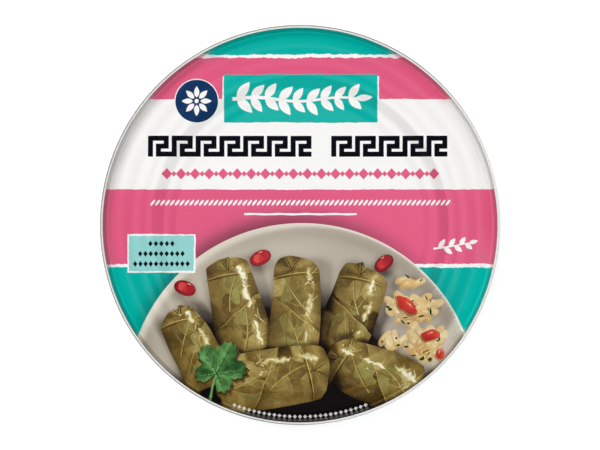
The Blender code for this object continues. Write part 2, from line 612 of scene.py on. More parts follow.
# Heaps of rice, from the lowest to the topmost: x, y, reach along x and y, and their grains
RICE_HEAPS = (
    (28.0, -14.9, 2.8, 1.2, 3),
    (34.4, -20.9, 1.0, 2.0, 2),
    (24.0, -30.0, 2.8, 1.8, 5),
    (28.6, -21.6, 5.6, 4.0, 25),
    (32.2, -30.0, 4.9, 4.2, 23),
)

# Pieces of pepper: x, y, degrees, length, width
PEPPERS = ((27.4, -20.6, -48, 5.8, 3.2), (33.6, -28.4, 18, 5.0, 2.7), (36.2, -33.0, 70, 3.4, 2.0))

# Red seeds: x, y, degrees, length, and how much darker than plain one is
SEEDS = ((-10.2, -8.4, 24, 5.8, 0.0), (-29.6, -16.2, -22, 5.8, 0.04), (21.6, -9.8, 38, 5.6, 0.1))

# The vine leaf beside the rolls: x, y, size, degrees
VINE_LEAF = (-20.6, -36.4, 13.4, 62)

# Width of the soft folds between a leaf's planes, as a square of millimetres
FOLD_SOFTNESS = 2.4


def roll_distance(points, roll, offset=(0.0, 0.0)):
    """How far points lie outside a roll, less than 0 inside it."""
    x, y, degrees, length, width = roll
    turn = math.radians(degrees)
    px = points[:, 0] - x - offset[0]
    py = points[:, 1] - y - offset[1]
    along = np.abs(px * math.cos(turn) + py * math.sin(turn)) - 0.5 * length + ROLL_CORNER_RADIUS
    across = np.abs(py * math.cos(turn) - px * math.sin(turn)) - 0.5 * width + ROLL_CORNER_RADIUS
    outside = np.hypot(np.maximum(along, 0), np.maximum(across, 0))
    return outside + np.minimum(np.maximum(along, across), 0) - ROLL_CORNER_RADIUS


def cast_by(points, rolls, touching):
    """The soft printed shadows of rolls on what lies under them: thrown away from the light, and darker
    by touching right beside them."""
    shade = np.zeros(len(points))
    for roll in rolls:
        near = np.maximum(roll_distance(points, roll), 0)
        thrown = np.maximum(roll_distance(points, roll, SHADOW_OFFSET), 0)
        one = THROWN * bell(thrown, 0, THROWN_REACH) + touching * np.exp(-near / TOUCHING_REACH)
        shade = np.maximum(shade, one) + 0.35 * np.minimum(shade, one)
    return shade


def between_rolls(points):
    """How deep points lie in the gap between two rolls, from 0 to 1."""
    near = np.sort([np.maximum(roll_distance(points, roll), 0) for roll in ROLLS], axis=0)
    return np.exp(-(near[0] + near[1]) / 3.4)


def round_heaps(points):
    """The soft shadow round the heaps of rice."""
    shade = np.zeros(len(points))
    for x, y, reach_x, reach_y, _ in RICE_HEAPS:
        aside = (points[:, 0] - x + 0.5) / (reach_x + 1.4)
        above = (points[:, 1] - y + 0.6) / (reach_y + 1.4)
        shade = np.maximum(shade, 0.09 * bell(np.maximum(np.hypot(aside, above) - 0.72, 0), 0, 0.3))
    return shade


def under_seeds(points):
    """The soft shadow of each seed, under its lower side."""
    shade = np.zeros(len(points))
    for x, y, _, size, _ in SEEDS:
        away = np.hypot(points[:, 0] - x, points[:, 1] - y + 1.0)
        shade += 0.2 * np.exp(-((away / (0.52 * size)) ** 4))
    return shade


def plate_tone(points):
    """The plate: a bright rim that rolls over into a shaded well, lit from the upper left."""
    x, y = points.T
    inward = -plate_distance(points)
    facing = plate_facing(points, PLATE_LIGHT_BEARING)
    edge = np.exp(-((inward / np.interp(facing, *PLATE_RIM_WIDTH)) ** 4))
    rim = edge * np.interp(plate_facing(points, PLATE_RIM_BEARING), *PLATE_RIM_LIFT)
    rolled = -0.065 * bell(inward, 2.6, 1.7) * (1 - 0.2 * facing)
    well = 0.05 * rising(inward, 3, 6) - 0.07 * np.clip(x / 40, -0.4, 1)
    sheen = 0.05 * np.exp(-(((x + 28) / 14) ** 2) - ((y + 14) / 10) ** 2)

    # Shadows grow darker towards the front of the plate
    low = 0.58 * rising(-y, 36, 11)
    deep = np.clip((-10 - y) / 16, 0.25, 1)
    gaps = 0.62 * deep * between_rolls(points)
    thrown = (0.4 + 0.6 * deep) * cast_by(points, ROLLS, 0.05)
    shadows = thrown + round_heaps(points) + under_seeds(points)
    return PLATE_TONE + rim + rolled + well + sheen - low - gaps - shadows


def plate():
    """The plate, with a second ring of edges just inside its own that carries its bright rim."""
    for inset in (0.0, PLATE_EDGE_INSET):
        across = 2 * (PLATE_RADIUS - inset)
        field("plate", oval(across, across, PLATE_STEPS), plate_tone, PLATE_CENTRE)


def kept_side(outline, point, direction):
    """The part of an outline that lies ahead of a line through a point, where direction points."""
    outline = np.asarray(outline, float).reshape(-1, 2)
    ahead = (outline - point) @ np.array(direction, float)
    points = []
    for index in range(len(outline)):
        here, there = outline[index], outline[(index + 1) % len(outline)]
        a, b = ahead[index], ahead[(index + 1) % len(outline)]
        if a >= 0:
            points.append(here)
        if (a >= 0) != (b >= 0):
            points.append(here + (there - here) * a / (a - b))
    return np.array(points).reshape(-1, 2)


def blot(length, width, chance, corners=9):
    """A small ragged patch round the origin."""
    turns = [(index + chance.uniform(-0.3, 0.3)) / corners * math.tau for index in range(corners)]
    reach = [chance.uniform(0.4, 1.0) for _ in turns]
    half_length, half_width = 0.5 * length, 0.5 * width
    corners = [(half_length * r * math.cos(t), half_width * r * math.sin(t)) for r, t in zip(reach, turns)]
    return np.array(corners)


def lit_side(roll):
    """How far a roll's +v side faces the light, from -1 to 1."""
    turn = math.radians(roll[2])
    return LIGHT.y * math.cos(turn) - LIGHT.x * math.sin(turn)


# A roll's plain shading: its tone, how much lighter its lit side is, how much darker its far side, its
# ends and its lit and far edges are, and how bright its wet band is
ROLL_TONE = 0.46
LIT_LIFT = 0.1
FAR_DROP = 0.1
END_DROP = 0.1
EDGE_DROPS = (0.05, 0.13)
WET_LIFT = 0.2


def roll_shade(local, roll):
    """A roll's plain shading: round across its axis, turned down at its ends, and brightest in a wet band
    on the side that faces the light, where the band's noise breaks it up."""
    _, _, _, length, width = roll
    across = np.clip(1.98 * local[:, 1] / width, -1, 1) * math.copysign(1, lit_side(roll))
    along = np.clip(1.98 * local[:, 0] / length, -1, 1)
    body = ROLL_TONE + LIT_LIFT * bell(across, 0.3, 0.5) - FAR_DROP * np.clip(-across - 0.1, 0, 1)
    drop = np.where(across > 0, *EDGE_DROPS)
    turned_down = END_DROP * np.abs(along) ** 8 + drop * np.clip(5 * np.abs(across) - 4, 0, 1) ** 2
    wet = np.clip(0.06 + 0.75 * noise_at(local, 0.3, 0.55, 3.1 * width + length), 0, 1)
    return body - turned_down + WET_LIFT * bell(across, 0.5, 0.22) * wet


def leaf_planes(chance, length, width, count):
    """Nearly flat planes that leaf tissue creases into: middle, lift, and slope along u and v."""
    rows = []
    for _ in range(count):
        middle = (chance.uniform(-0.5, 0.5) * length, chance.uniform(-0.5, 0.5) * width)
        lift = chance.uniform(-0.15, 0.08)
        rows.append((*middle, lift, chance.uniform(-0.025, 0.025), chance.uniform(-0.03, 0.03)))
    return np.array(rows)


def creased(local, planes):
    """The lift of points on creased leaf, with soft folds that catch a little light."""
    away = local[:, None, :] - planes[None, :, :2]
    squares = (away**2).sum(2)
    share = np.exp((squares.min(1)[:, None] - squares) / FOLD_SOFTNESS)
    share /= share.sum(1)[:, None]
    lifts = planes[:, 2] + (away * planes[:, 3:]).sum(2)
    return (share * lifts).sum(1) + 0.09 * (1 - (share**2).sum(1))


def roll_tone(roll, above, lift=0.0, planes=None, edge=None, pleats=None):
    """The tone of a roll's leaf in local millimetres. planes crease it, edge is a line (u, lean) under
    whose flap it lies in shadow, and pleats (u, v, count) fan out round a pinch."""

    def tone(points):
        local = placed(points - np.array(roll[:2]), 0, 0, -roll[2])
        value = roll_shade(local, roll) + lift - 0.9 * cast_by(points, above, 0.16)
        if planes is not None:
            value += creased(local, planes)
        if edge is not None:
            beyond = ((local[:, 0] - edge[0]) - edge[1] * local[:, 1]) / math.hypot(1, edge[1])
            value -= 0.17 * np.exp(-np.maximum(beyond, 0) / 1.0)
        if pleats is not None:
            bearing = np.arctan2(local[:, 1] - pleats[1], local[:, 0] - pleats[0])
            reach = np.hypot(local[:, 1] - pleats[1], local[:, 0] - pleats[0])
            value += 0.09 * np.cos(pleats[2] * bearing + roll[0]) - 0.2 * np.exp(-reach / 1.2)
        return value

    return tone


def roll_vein(add, start, end, bulge, width, chance):
    """A pale rib with a thin shadow beside it, and most of its three pairs of side veins."""
    start, end = np.array(start), np.array(end)
    rib = curve(start, (start + end) / 2 + (0, bulge), end, 14)
    add("roll", stroke(rib - (0.1, 0.2), np.linspace(0.46, 0.18, 15)), -0.1)
    add("rib", stroke(rib, np.linspace(0.32, 0.1, 15)), 0.08)
    ahead = (end - start) / np.linalg.norm(end - start)
    aside = np.array((-ahead[1], ahead[0]))
    for step in (2, 5, 8):
        for side in (1, -1):
            reach = width * (0.46 - 0.022 * step) * chance.uniform(0.6, 1.1)
            spread_out = side * chance.uniform(0.55, 0.95)
            if chance.random() < 0.3:
                continue
            tip = rib[step] + reach * (0.8 * ahead + spread_out * aside)
            room = 0.46 * width / max(abs(tip[1]), 1e-6)
            tip = tip if room > 1 else rib[step] + (tip - rib[step]) * room
            branch = curve(rib[step], (rib[step] + tip) / 2 + 0.7 * side * aside, tip, 6)
            add("rib", stroke(branch, np.linspace(0.18, 0.06, 7)), 0.01)


def folded_end(add, body, length, width, lean, chance):
    """The end that is folded in: brown pleats round a dark pinch, under a pale folded edge."""
    start = 0.32 * length
    pinch = np.array((start + 0.06 * length, 0.1 * width * lean))
    add("tuck", kept_side(body, (start, 0), (1, 0.22 * lean)), 0.03, pleats=(*pinch, 5))
    for bearing in (-70 + 20 * lean, -24, 22, 66):
        tip = pinch + 0.13 * length * pointing(bearing + chance.uniform(-9, 9))
        crease = curve(pinch, (pinch + tip) / 2 + (0.3, 0.3), tip, 5)
        add("tuck", stroke(crease, [0.16, 0.3, 0.34, 0.26, 0.16, 0.06]), -0.2)
        add("rib", stroke(crease + (0.0, 0.26), [0.04, 0.12, 0.16, 0.14, 0.1, 0.04]), 0.04)
    tilt, half = 0.1 * lean * width, 0.43 * width
    fold = curve((start - tilt, half), (start + 1.2, 0), (start + tilt, -half))
    add("tuck", stroke(fold - (0.36, 0.0), [0.1, 0.4, 0.6, 0.6, 0.6, 0.6, 0.5, 0.3, 0.1]), -0.13)
    add("rib", stroke(fold, [0.06, 0.16, 0.24, 0.26, 0.22, 0.26, 0.2, 0.14, 0.06]), 0.08)


def gleam(add, start, end, widest, wet, chance):
    """A jagged wet gleam from start to end: a cream border, a paler one inside it and a white core. wet
    is how bright it is."""
    share = np.linspace(0, 1, 11)
    line = start + share[:, None] * (end - start)
    line[:, 1] += np.array([chance.uniform(-0.32, 0.32) * widest for _ in share])
    widths = widest * np.array([chance.uniform(0.15, 1.0) for _ in share]) * np.sin(math.pi * share) ** 0.4
    for grow, lift in ((0.75, 0.07), (0.35, 0.15), (0.0, 0.29)):
        wide = widths * (1 + grow) + 0.45 * grow
        wide[[0, -1]] *= 0.2
        add("roll", blunted(stroke(line, wide), 1), wet * lift)


def wet_glints(add, roll, chance):
    """The gleams down a roll's lit side: cream patches, jagged gleams over them, thin bright cracks that
    run to the roll's edge, and small specks."""
    _, _, _, length, width = roll
    side = math.copysign(1, lit_side(roll))
    wet = chance.uniform(0.7, 1.0)

    def spot(low, high, near, far):
        """A place between shares of the length and, on the lit side, of the width."""
        u = chance.uniform(low, high) * length
        return u, side * width * chance.uniform(near, far)

    for _ in range(3):
        u, v = spot(-0.42, 0.4, 0.2, 0.36)
        patch = blot(chance.uniform(2.4, 5.0), chance.uniform(1.2, 2.8), chance, 11)
        add("roll", placed(patch, u, v, chance.uniform(-24, 24)), 0.08 * wet)
        add("roll", placed(0.62 * patch, u + 0.2, v, chance.uniform(-24, 24)), 0.15 * wet)
    for u0, u1 in ((-0.45, -0.16), (-0.1, 0.2), (0.26, 0.43)):
        u0, u1 = u0 + chance.uniform(-0.04, 0.04), u1 + chance.uniform(-0.06, 0.02)
        v0, v1 = chance.uniform(0.2, 0.32), chance.uniform(0.2, 0.32)
        start, end = np.array((u0 * length, side * v0 * width)), np.array((u1 * length, side * v1 * width))
        gleam(add, start, end, chance.uniform(0.8, 1.9), wet, chance)
    for _ in range(9):
        u, v = spot(-0.44, 0.38, 0.16, 0.34)
        end = (u + chance.uniform(-3.4, 3.4), side * width * chance.uniform(0.3, 0.45))
        crack = curve((u, v), ((u + end[0]) / 2 + chance.uniform(-0.6, 0.6), (v + end[1]) / 2), end, 6)
        add("roll", stroke(crack, [0.4, 0.3, 0.22, 0.34, 0.16, 0.24, 0.08]), 0.17)
    for _ in range(8):
        u, v = spot(-0.45, 0.48, 0.02, 0.4)
        speck = blot(chance.uniform(0.5, 1.5), chance.uniform(0.4, 0.8), chance, 7)
        add("roll", placed(speck, u, v), chance.uniform(0.08, 0.24))


def tissue(add, middle, keep, roll, patches, chance):
    """Flat patches of thicker and thinner leaf, greener or browner than what is round them. Each lies on
    the side of a line across the roll that keep (u, lean) tells."""
    _, _, _, length, width = roll
    for ink_name, lift in patches:
        size = (chance.uniform(0.26, 0.5) * length, chance.uniform(0.3, 0.66) * width)
        patch = blunted(blot(*size, chance, 6), 1)
        u, v = (middle + chance.uniform(-0.12, 0.12)) * length, chance.uniform(-0.16, 0.16) * width
        patch = placed(patch, u, v, chance.uniform(-12, 12))
        add(ink_name, kept_side(patch, (keep[0], 0), keep[1:]), lift)


def leaf_roll(index):
    """One roll: its wrapped body and the flap that crosses it, both creased, its folded end, its veins
    and its wet glints."""
    roll = ROLLS[index]
    x, y, degrees, length, width = roll
    above = ROLLS[index + 1 :]
    chance = random.Random(31 + index)
    corners = []
    for u, v in ROLL_CORNERS:
        u, v = u + chance.uniform(-0.035, 0.025), v + chance.uniform(-0.055, 0.04)
        corners.append((u, v * (1 + ROLL_TAPERS[index] * u)))
    body = blunted(np.array(corners) * (length, width), 2, 0.15)
    lean = chance.uniform(0.45, 0.95) * (1 if index % 2 else -1)
    crossing = -0.06 * length
    patches = BROWN_PATCHES if index in BROWN_ROLLS else GREEN_PATCHES

    def add(ink_name, local, lift, **form):
        if len(local) >= 3:
            field(ink_name, local, roll_tone(roll, above, lift, **form), (x, y, degrees))

    def vein(u0, v0, u1, v1, bulge):
        start, end = (u0, v0 * width * lean), (u1, v1 * width * lean)
        roll_vein(add, start, end, bulge * width, width, chance)

    # A scrap of leaf at the folded end, the body under the flap, and its veins
    add("tuck", placed(blot(3.6, 2.6, chance), 0.47 * length, 0.2 * width * lean, 70), -0.1)
    add("roll", body, 0.0, planes=leaf_planes(chance, length, width, 8), edge=(crossing, lean))
    tissue(add, 0.12, (crossing, 1, -lean), roll, patches, chance)
    vein(-0.04 * length, -0.34, 0.31 * length, 0.3, 0.1)

    # The flap of the leaf's edge
    flap = kept_side(body, (crossing, 0), (-1, lean))
    add("roll", flap, 0.02, planes=leaf_planes(chance, length, width, 7))
    tissue(add, -0.2, (crossing, -1, lean), roll, patches, chance)
    over = np.linspace(-0.44 * width, 0.44 * width, 13)
    edge = [(crossing + lean * v + 0.2 * math.sin(1.1 * v), v) for v in over]
    add("rib", stroke(edge, [0.05] + 11 * [0.2] + [0.05]), 0.06)
    vein(-0.46 * length, -0.2, crossing, 0.26, -0.1)
    folded_end(add, body, length, width, lean, chance)

    # Thin dark creases along the roll
    for _ in range(5):
        u, v = chance.uniform(-0.45, 0.0) * length, chance.uniform(-0.4, 0.36) * width
        run = chance.uniform(0.15, 0.38) * length
        middle = (u + 0.5 * run, v + chance.uniform(-1.2, 1.2))
        crease = curve((u, v), middle, (u + run, v + chance.uniform(-0.8, 0.8)))
        add("roll", stroke(crease, [0.04, 0.12, 0.18, 0.22, 0.2, 0.18, 0.14, 0.1, 0.04]), -0.1)
    wet_glints(add, roll, chance)


def vine_leaf(x, y, size, degrees):
    """A green leaf with five toothed lobes, its stalk and its ribs."""
    at = (x, y, degrees)
    angles = np.linspace(-math.pi, math.pi, 120, endpoint=False)
    lobes = 0.62 + 0.38 * np.abs(np.cos(2.5 * angles)) ** 0.8
    notch = 1.0 - 0.75 * bell(np.abs(angles), math.pi, 0.2)
    teeth = 1.0 + 0.05 * np.sin(27 * angles)
    reach = 0.5 * size * lobes * notch * teeth
    outline = np.stack([reach * np.cos(angles), reach * np.sin(angles)], 1)
    heart = np.array((-0.16 * size, 0.0))

    def tone(points):
        across, above = (placed(points - (x, y), 0, 0, -degrees) - heart).T
        bearing = np.arctan2(above, across)
        away = np.hypot(across, above) / size
        quilted = 0.05 * np.cos(26 * away + 3 * np.cos(5 * bearing))
        fold = np.where(np.sin(2.5 * bearing) > 0, 0.06, -0.08)
        return 0.45 + 0.1 * np.cos(5 * bearing) + fold + quilted - 0.14 * away

    for grow, drop, shade in ((1.1, 0.9, 0.34), (1.04, 0.5, 0.2)):
        field("roll", placed(outline * grow, *at) + (0.2 * drop, -0.8 * drop), shade)
    field("sprig", outline, tone, at)
    stalk = curve(heart, (-0.45 * size, -0.05 * size), (-0.66 * size, -0.14 * size), 8)
    field("sprig", stroke(stalk, np.linspace(0.45, 0.6, 9)), 0.6, at)
    for lobe in (-144, -72, 0, 72, 144):
        tip = 0.44 * size * pointing(lobe)
        rib = curve(heart, (heart + tip) / 2, tip, 8)
        field("sprig", stroke(rib, np.linspace(0.5, 0.14, 9)), 0.2, at)
        field("sprig", stroke(rib + (0.0, 0.16), np.linspace(0.24, 0.08, 9)), 0.66, at)
        for step in (2, 4, 6):
            for side in (35, -35):
                away = placed([tip - heart], 0, 0, side)[0]
                end = rib[step] + (0.3 - 0.03 * step) * away
                field("sprig", stroke([rib[step], end], [0.22, 0.08]), 0.24, at)


# A seed's corners, as shares of half its length and width, and its facets: their share of the seed,
# their middle and their tone
SEED_CORNERS = (
    (-1.0, -0.35), (-0.55, -0.78), (0.45, -0.8), (1.0, -0.3), (0.95, 0.35), (0.4, 0.75), (-0.5, 0.7),
    (-1.0, 0.25),
)
SEED_FACETS = (
    ((0.62, 0.66), (0.12, 0.05), 0.56),
    ((0.36, 0.56), (-0.14, 0.02), 0.76),
    ((0.18, 0.4), (0.0, -0.04), 0.66),
)


def seed_kernel(x, y, degrees, size, dark):
    """A red seed with flat facets and a small glint."""
    body = np.array(SEED_CORNERS) * (0.5 * size, 0.42 * size)
    at = (x, y, degrees)
    field("seed", blunted(body, 1), 0.3 - dark, at)
    field("seed", blunted(body * 0.88, 1), 0.44 - dark, at)
    for share, middle, tone in SEED_FACETS:
        field("seed", body * share + np.array(middle) * size, tone - dark, at)
    field("seed", oval(0.18 * size, 0.06 * size, 10) + (0.1 * size, 0.22 * size), 0.9, at)


def uneven(body, amount, rate, seed):
    """The outline with its reach moved by a noise."""
    return body * (1 + amount * noise_at(body, rate, rate, seed))[:, None]


def lit_from(x, y, width, middle_tone, gain, direction):
    """A tone that rises across a small thing at x, y, towards the light."""

    def tone(points):
        return middle_tone + gain * ((points - (x, y)) @ np.array(direction) / width)

    return tone


def pepper(x, y, degrees, length, width):
    """A soft piece of red pepper."""
    body = uneven(oval(length, width, 26), 0.3, 1.0, x)
    at = (x, y, degrees)
    field("rice", body * 1.08, 0.12, (x - 0.25, y - 0.3, degrees))
    field("pepper", body, lit_from(x, y, width, 0.5, 0.3, (0.6, 0.8)), at)
    field("pepper", body * (0.5, 0.14) + (0.08 * length, 0.2 * width), 0.72, at)
    field("pepper", body * (0.16, 0.1) + (0.1 * length, 0.24 * width), 0.96, at)


def rice_mass(x, y, reach_x, reach_y):
    """The soft mass under the grains of one heap."""

    def tone(points):
        return 0.42 + 0.12 * noise_at(points, 0.9, 0.9, x)

    field("rice", uneven(oval(2 * reach_x, 2 * reach_y, 60), 0.22, 0.5, x + y), tone, (x, y))


def rice_grain(x, y, degrees, length, width, shade):
    """One plump cooked grain with blunt ends, a little bowed, with a faint soft border."""
    body = blunt_oval(length, width, 22)
    body[:, 1] += 0.14 * width * (1 - (2 * body[:, 0] / length) ** 2)
    wet_line = oval(0.34 * length, 0.2 * width, 12) + (0.0, 0.26 * width)
    field("rice", body * (1.04, 1.1), 0.38 + 0.5 * shade, (x - 0.14, y - 0.18, degrees))
    field("rice", body, lit_from(x, y, width, 0.52 + shade, 0.14, (0.55, 0.83)), (x, y, degrees))
    field("rice", body * (0.66, 0.54) + (0.0, 0.12), 0.62 + shade, (x + 0.06, y + 0.1, degrees))
    field("rice", wet_line, 0.8 + shade, (x, y, degrees))


def rice_heap(x, y, reach_x, reach_y, count):
    """Cooked grains spread evenly over their heap, with flecks of herb."""
    rice_mass(x, y, 0.84 * reach_x, 0.84 * reach_y)

    def place(angle, reach):
        return (x + reach_x * reach * math.cos(angle), y + reach_y * reach * math.sin(angle))

    for index in range(count):
        spot = place(2.4 * index + random.uniform(-0.3, 0.3), math.sqrt((count - index - 0.5) / count))
        turn, long, wide = random.uniform(0, 180), random.uniform(3.3, 4.6), random.uniform(1.6, 2.1)
        rice_grain(*spot, turn, long, wide, random.uniform(-0.07, 0.1))
    for _ in range(2 * count // 3):
        spot = place(random.uniform(0, math.tau), 1.15 * math.sqrt(random.random()))
        fleck = leaf(random.uniform(0.7, 1.9), random.uniform(0.3, 0.6), 6)
        turn = random.uniform(0, 360)
        field("sprig", fleck, random.uniform(-0.1, 0.14), (*spot, turn))


def food():
    for heap in RICE_HEAPS:
        rice_heap(*heap)
    for piece in PEPPERS:
        pepper(*piece)
    for seed in SEEDS:
        seed_kernel(*seed)
    for index in range(len(ROLLS)):
        leaf_roll(index)
    vine_leaf(*VINE_LEAF)


# The lozenges along the lower rim: their radius, and their first bearing, last bearing and count
RIM_DOTS_RADIUS = 49.4
RIM_DOTS = (-110, -70, 27)


def rim_dots():
    for bearing in np.linspace(*RIM_DOTS):
        field("white", lozenge(1.1, 1.0), 0.42, (*pointing(bearing, RIM_DOTS_RADIUS), bearing + 90))


def painted():
    """Every field of the print, over the plain pink ground."""
    field("pink", oval(GROUND_WIDTH, GROUND_WIDTH, 60), pink_tone)
    colour_bands()
    ornaments()
    plate()
    food()
    rim_dots()
    aqua_label()
    white_twig(*TWIG)


# Painted shadow in the tone, where the raised rim throws its shadow on the print: its strength by height
# on the tin (-1 lowest, 1 highest) and by radius
SHADE_BY_HEIGHT = ((-0.1, 0.0, 0.2, 0.35, 0.75, 0.97), (0.0, 0.03, 0.06, 0.1, 0.08, 0.03))
SHADE_BY_RADIUS = ((47.2, 49.4, 49.6, 49.85, 50.2), (0.0, 1.0, 1.0, 0.0, 0.3))

# Painted light that the lowest part gains, and that the recess wall gains at its two ends
PAINTED_LIGHT_BY_HEIGHT = ((-0.95, -0.8, -0.3, 0.0), (0.0, 0.1, 0.1, 0.0))
PAINTED_LIGHT_BY_RADIUS = ((46.0, 47.4, 49.1, 49.6, 50.0, 50.4), (0.0, 1.0, 1.0, 0.6, 0.5, 0.0))
ENDS_PAINTED_LIGHT_BY_HEIGHT = ((-0.65, -0.5, -0.3, -0.1, 0.7, 0.96), (0.0, 0.05, 0.05, 0.0, 0.0, 0.04))
ENDS_PAINTED_LIGHT_BY_RADIUS = ((49.5, 49.8, 50.15, 50.4), (0.0, 1.0, 1.0, 0.0))

# Painted shade on the left, painted light on the right, and how dark the recess wall is painted all round
LEFT_SHADE_BY_RADIUS = ((49.0, 49.6, 49.9, 50.2, 50.7), (0.0, -0.015, 0.08, 0.08, 0.03))
RIGHT_PAINTED_LIGHT_BY_RADIUS = ((46.6, 47.1, 47.6, 48.4, 49.4, 49.65), (0.0, 0.015, 0.02, 0.016, 0.026, 0.0))
RECESS_WALL_SHADE = (
    (49.2, 49.4, 49.6, 49.85, 50.1, 50.4, 50.6, 50.75),
    (0.0, 0.03, 0.08, -0.03, -0.05, 0.06, 0.2, 0.24),
)

# Painted shade on the recess wall at its upper left, where a lamp gleams on it
GLEAM_SIDE = (-0.89, 0.455)
GLEAM_SHADE_BY_RADIUS = ((49.7, 49.9, 50.15, 50.35), (0.0, 0.035, 0.035, 0.0))

# Painted shade on the pressed rings on the left, and on the pressed slope on the right
LEFT_RINGS_SHADE = (
    (35.0, 35.6, 36.1, 38.1, 38.5, 39.4, 40.0, 40.9, 41.5, 43.0, 44.0, 45.2, 46.6),
    (0.0, 0.028, 0.018, 0.013, 0.0, 0.0, 0.022, 0.022, 0.0, 0.0, 0.026, 0.02, 0.0),
)
SLOPE_SHADE = (
    (31.4, 32.2, 33.4, 33.8, 35.2, 36.2, 37.9, 38.5),
    (0.0, 0.02, 0.02, 0.0, 0.0, 0.06, 0.07, 0.0),
)

# How much of this painted shade inks of deep colour take, whose own gloss lightens it, the painted light
# they gain in the groove and on the left beside it, and the painted shade they take on the pressed slope
PALE_INKS = ("white", "plate")
DEEP_INK_SHADE = 0.68
DEEP_INK_PAINTED_LIGHT = (
    (48.2, 48.9, 49.35, 49.6, 49.75, 49.9, 50.1, 50.4, 50.65, 50.75),
    (0.0, 0.02, -0.005, 0.0, 0.13, 0.18, 0.16, 0.03, -0.05, -0.06),
)
DEEP_INK_LEFT_PAINTED_LIGHT = ((46.4, 47.0, 48.6, 49.2, 50.1, 50.5), (0.0, 0.03, 0.035, 0.07, 0.065, 0.02))
DEEP_INK_SLOPE_SHADE = ((35.6, 36.2, 38.0, 38.5), (0.0, 0.055, 0.06, 0.0))

# How much more painted light the right of the rim gains than its left, on most inks and on the plate
RIGHT_GAIN = 1.2
RIGHT_GAIN_ON_PLATE = 2.3
LEAST_GAIN = -0.25

# How fast what lies on the left, and what lies on the right, grows away from the middle
LEFT_RATE = 1.3
RIGHT_RATE = 1.2


def painted_rim_shade(points, right_gain):
    """Painted shade less painted light: how much the tone drops near the rim, on the pressed rings, and on
    the pressed slope that faces the light.
    """
    radius, unit = polar(points)
    right, up = unit.T
    shade = np.interp(up, *SHADE_BY_HEIGHT) * np.interp(radius, *SHADE_BY_RADIUS)
    lift = np.interp(up, *PAINTED_LIGHT_BY_HEIGHT) * np.interp(radius, *PAINTED_LIGHT_BY_RADIUS)
    lift *= np.maximum(1 + right_gain * right, LEAST_GAIN)
    lift += np.interp(up, *ENDS_PAINTED_LIGHT_BY_HEIGHT) * np.interp(radius, *ENDS_PAINTED_LIGHT_BY_RADIUS)
    shade += np.clip(-right, 0, 1) * np.interp(radius, *LEFT_SHADE_BY_RADIUS)
    shade -= np.clip(RIGHT_RATE * right, 0, 1) * np.interp(radius, *RIGHT_PAINTED_LIGHT_BY_RADIUS)
    shade += rising(unit @ np.array(GLEAM_SIDE), 0.96, 0.03) * np.interp(radius, *GLEAM_SHADE_BY_RADIUS)
    slope = np.clip(right, 0, 1) * np.interp(radius, *SLOPE_SHADE)
    rings = np.clip(-LEFT_RATE * right, 0, 1) * np.interp(radius, *LEFT_RINGS_SHADE)
    return shade - lift + slope + rings + np.interp(radius, *RECESS_WALL_SHADE)


def deep_ink_painted_light(points):
    """The painted light that inks of deep colour gain near the rim, less the painted shade that they take on
    the pressed slope.
    """
    radius, unit = polar(points)
    right = unit[:, 0]
    lift = np.interp(radius, *DEEP_INK_PAINTED_LIGHT)
    lift += np.clip(-LEFT_RATE * right, 0, 1) * np.interp(radius, *DEEP_INK_LEFT_PAINTED_LIGHT)
    return lift - np.clip(right, 0, 1) * np.interp(radius, *DEEP_INK_SLOPE_SHADE)


# How far a painted reflection of the rim's grey metal covers the pink beside it, most of all on the left
PAINTED_REFLECTION_BY_RADIUS = (
    (47.8, 48.5, 49.0, 49.5, 50.0, 50.2, 50.45, 50.73),
    (0.0, 0.05, 0.135, 0.21, 0.21, 0.29, 0.39, 0.41),
)
PAINTED_REFLECTION_GREY = (130, 128, 138)


# The rim's painted reflection on the pink, by radius, stronger on the left
def painted_rim_reflection(points):
    radius, unit = polar(points)
    return np.interp(radius, *PAINTED_REFLECTION_BY_RADIUS) * (0.8 - 0.3 * unit[:, 0])


# From fields to faces. The print ends in this ring of edges
PRINT_RIM = PRINT_RADIUS * circle(RIM_STEPS)


def plain_points():
    """Points of the plain mesh under the print: rings that follow the relief, and a grid inside them."""
    points = [radius * circle(RIM_STEPS) for radius in PRINTED[1:, 0]]
    inside = PRINTED[1, 0] - GRID_GAP
    rows, columns = int(inside / GRID_ROW_STEP), int(inside / GRID_STEP) + 1
    for row in range(-rows, rows + 1):
        shift = 0.25 * GRID_STEP if row % 2 else -0.25 * GRID_STEP
        line = [(column * GRID_STEP + shift, row * GRID_ROW_STEP) for column in range(-columns, columns + 1)]
        points.append([place for place in line if math.hypot(*place) < inside])
    return np.concatenate(points)


def within(points, outline):
    """Whether each point lies in the outline."""
    low, high = outline.min(0), outline.max(0)
    found = np.zeros(len(points), bool)
    near = np.flatnonzero(((points >= low) & (points <= high)).all(1))
    x, y = points[near].T
    hit = np.zeros(len(near), bool)
    for (x0, y0), (x1, y1) in zip(outline, np.roll(outline, -1, axis=0)):
        if y0 != y1:
            crosses = (y0 > y) != (y1 > y)
            hit ^= crosses & (x < x0 + (y - y0) * (x1 - x0) / (y1 - y0))
    found[near] = hit
    return found


